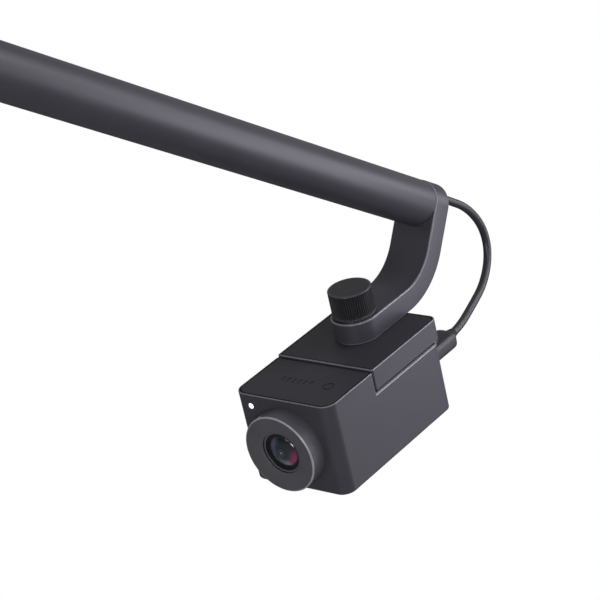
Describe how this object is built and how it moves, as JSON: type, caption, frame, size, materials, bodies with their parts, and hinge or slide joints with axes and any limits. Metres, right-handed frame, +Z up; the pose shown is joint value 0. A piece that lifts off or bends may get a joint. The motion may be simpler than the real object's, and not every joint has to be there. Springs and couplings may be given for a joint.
{
  "type": "document camera",
  "caption": "Small box camera hung by a clamp knob under a bent strap on a long wall arm, lens aimed back and down, with a cable loop to its rear port.",
  "frame": {"origin": "centre of the wall plate's back face", "axes": "+Y out of the wall plate's back face, into the wall; the arm runs along -Y; +Z up"},
  "size_m": [0.106, 0.6585, 0.1947],
  "materials": {
    "arm_paint": "satin charcoal powder coat",
    "strap_paint": "satin charcoal powder coat",
    "housing_paint": "satin charcoal paint on cast aluminium",
    "ring_paint": "satin charcoal paint",
    "cover_plastic": "fine matte grain",
    "knob_plastic": "matte, ribbed",
    "black_plastic": "matte",
    "plug_plastic": "soft matte",
    "cable_jacket": "smooth soft jacket",
    "soft_rubber": "matte",
    "steel_plate": "matte powder coat",
    "black_steel": "black oxide",
    "steel": "plain",
    "bare_aluminium": "machined",
    "brass": "turned",
    "barrel_black": "matte black anodised",
    "lens_glass": "coated optical glass",
    "circuit_board": "solder mask",
    "chip_black": "moulded",
    "status_light": "diffusing, lit white"
  },
  "bodies": {
    "arm": {"wall_plate": "steel_plate", "arm_socket": "arm_paint", "socket_bolts": "black_steel", "socket_grub_screws": "black_steel", "wall_cover": "arm_paint", "cover_posts": "steel_plate", "cover_screws": "black_steel", "inlet_socket": "black_plastic", "arm_tube": "arm_paint", "tube_insert": "bare_aluminium", "strap": "strap_paint", "strap_screw": "black_steel", "cable_grommet": "soft_rubber", "friction_pad": "soft_rubber", "cable_inner": "cable_jacket", "cable_loop_upper": "cable_jacket"},
    "knob_seat": {"knob_washer": "steel"},
    "knob": {"knob": "knob_plastic", "knob_stud": "steel"},
    "plate": {"mount_plate": "housing_paint", "plate_skin": "cover_plastic", "thread_insert": "brass", "plate_pad": "soft_rubber", "hinge_pin": "steel", "hinge_washers": "steel"},
    "camera": {"housing": "housing_paint", "front_cover": "cover_plastic", "rear_panel": "cover_plastic", "rear_panel_screws": "black_steel", "light_pipe": "status_light", "status_led": "status_light", "lens_ring": "ring_paint", "ring_nut": "bare_aluminium", "lens_retainer": "barrel_black", "lens_barrel": "barrel_black", "front_lens": "lens_glass", "inner_lenses": "lens_glass", "lens_holder": "black_plastic", "ir_filter": "lens_glass", "sensor_board": "circuit_board", "image_sensor": "chip_black", "main_board": "circuit_board", "board_standoffs": "brass", "board_screws": "steel", "board_chips": "chip_black", "heat_sink": "bare_aluminium", "port_socket": "steel", "plug_shell": "steel", "plug_grip": "plug_plastic", "strain_relief": "soft_rubber", "cable_loop_lower": "cable_jacket"}
  },
  "joints": [
    {"name": "head_pan", "type": "hinge", "parent": "arm", "child": "plate", "pos_m": [0, -0.57667, -0.05933], "axis": [0, 0.5807, 0.8141], "range_deg": [-30, 30], "deforming": ["cable_loop_upper"]},
    {"name": "head_tilt", "type": "hinge", "parent": "plate", "child": "camera", "pos_m": [0, -0.59769, -0.05625], "axis": [-1, 0, 0], "range_deg": [0, 35], "deforming": ["cable_loop_lower"]},
    {"name": "knob_turn", "type": "hinge", "parent": "arm", "child": "knob_seat", "pos_m": [0, -0.57101, -0.05139], "axis": [0, 0.5807, 0.8141], "range_deg": [0, 720]},
    {"name": "knob_lift", "type": "slide", "parent": "knob_seat", "child": "knob", "axis": [0, 0.5807, 0.8141], "range_m": [0, 0.0025]}
  ],
  "couplings": [
    {"joint": "knob_turn", "follows": "knob_lift", "rad_per_m": 4947.4}
  ]
}
